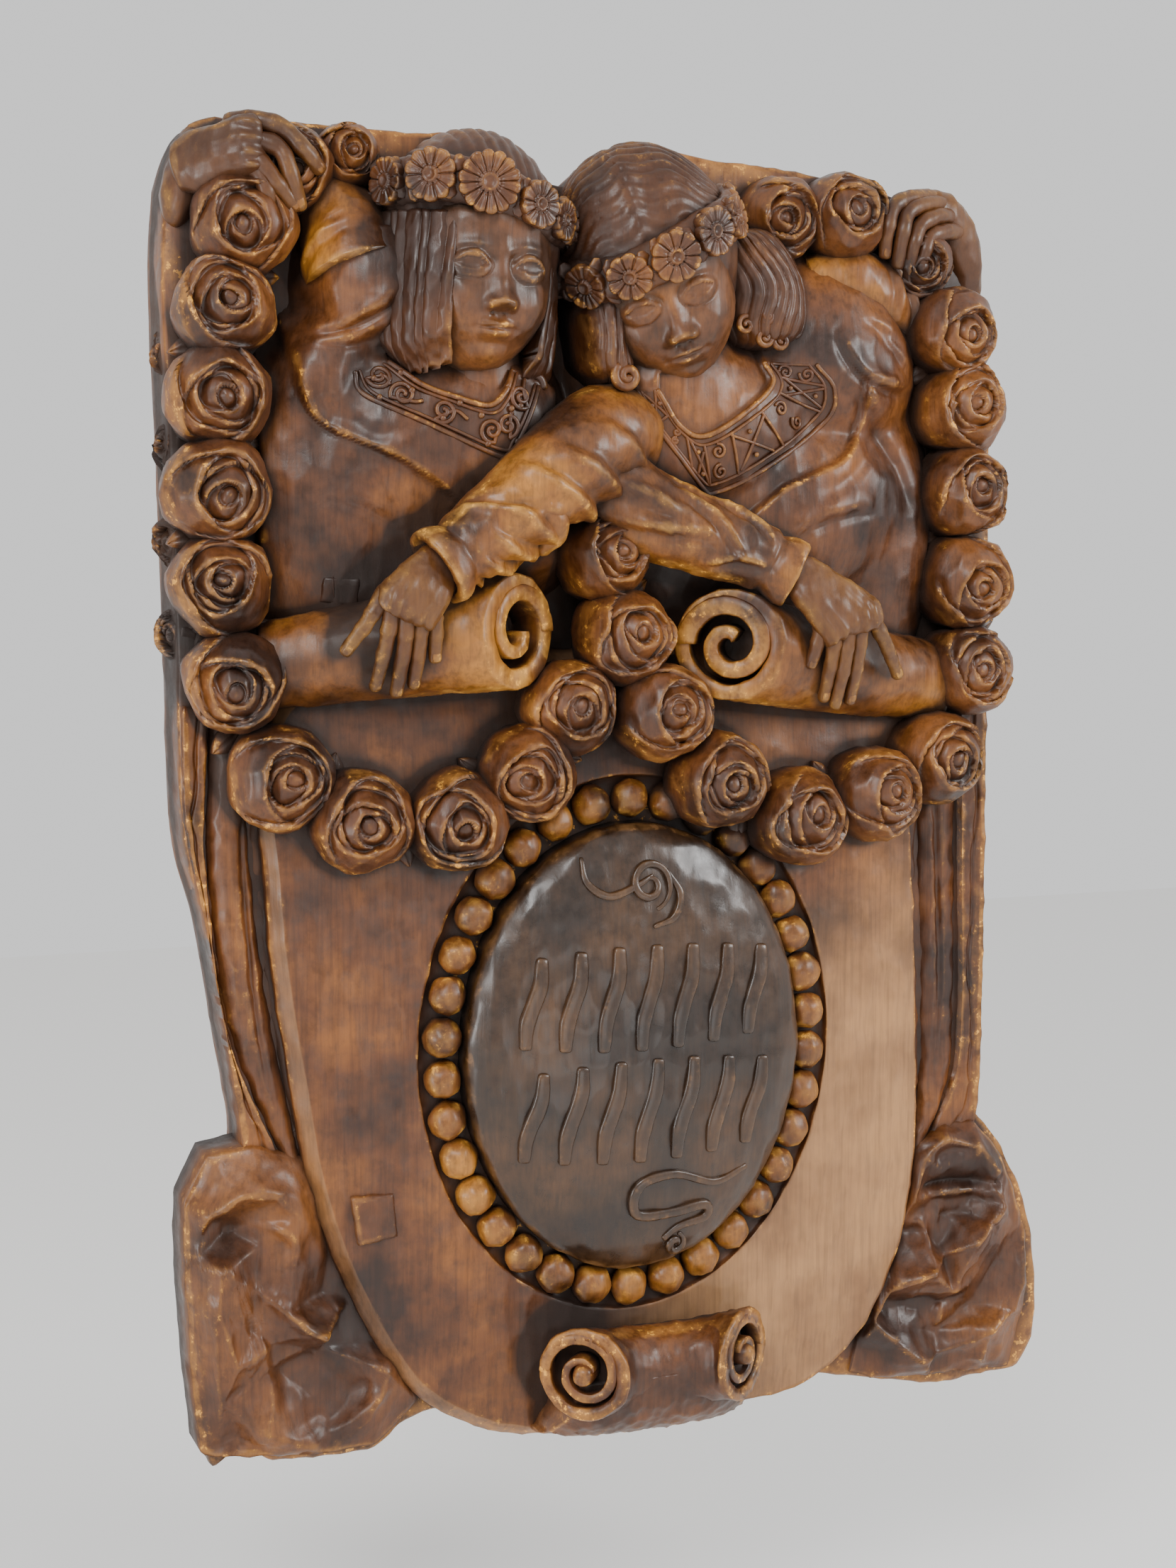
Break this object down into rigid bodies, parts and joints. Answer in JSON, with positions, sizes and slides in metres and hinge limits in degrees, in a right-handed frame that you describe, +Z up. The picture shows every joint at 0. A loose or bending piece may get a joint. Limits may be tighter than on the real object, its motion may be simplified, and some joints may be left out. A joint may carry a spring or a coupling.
{
  "type": "carved relief panel",
  "caption": "Carved wooden wall relief: garlanded figures with paper rolls above a shield with a beaded oval boss, flat-backed for fixing to a wall.",
  "frame": {"origin": "middle of the flat back, on the wall plane", "axes": "+Z up, +X to the viewer's right, +Y out of the back into the wall, so the carving faces -Y"},
  "size_m": [0.783, 0.1768, 1.0505],
  "materials": {
    "carved_wood": "dark stained and varnished, satin, with worn golden high points"
  },
  "bodies": {
    "root": {"relief_panel": "carved_wood"}
  },
  "joints": []
}
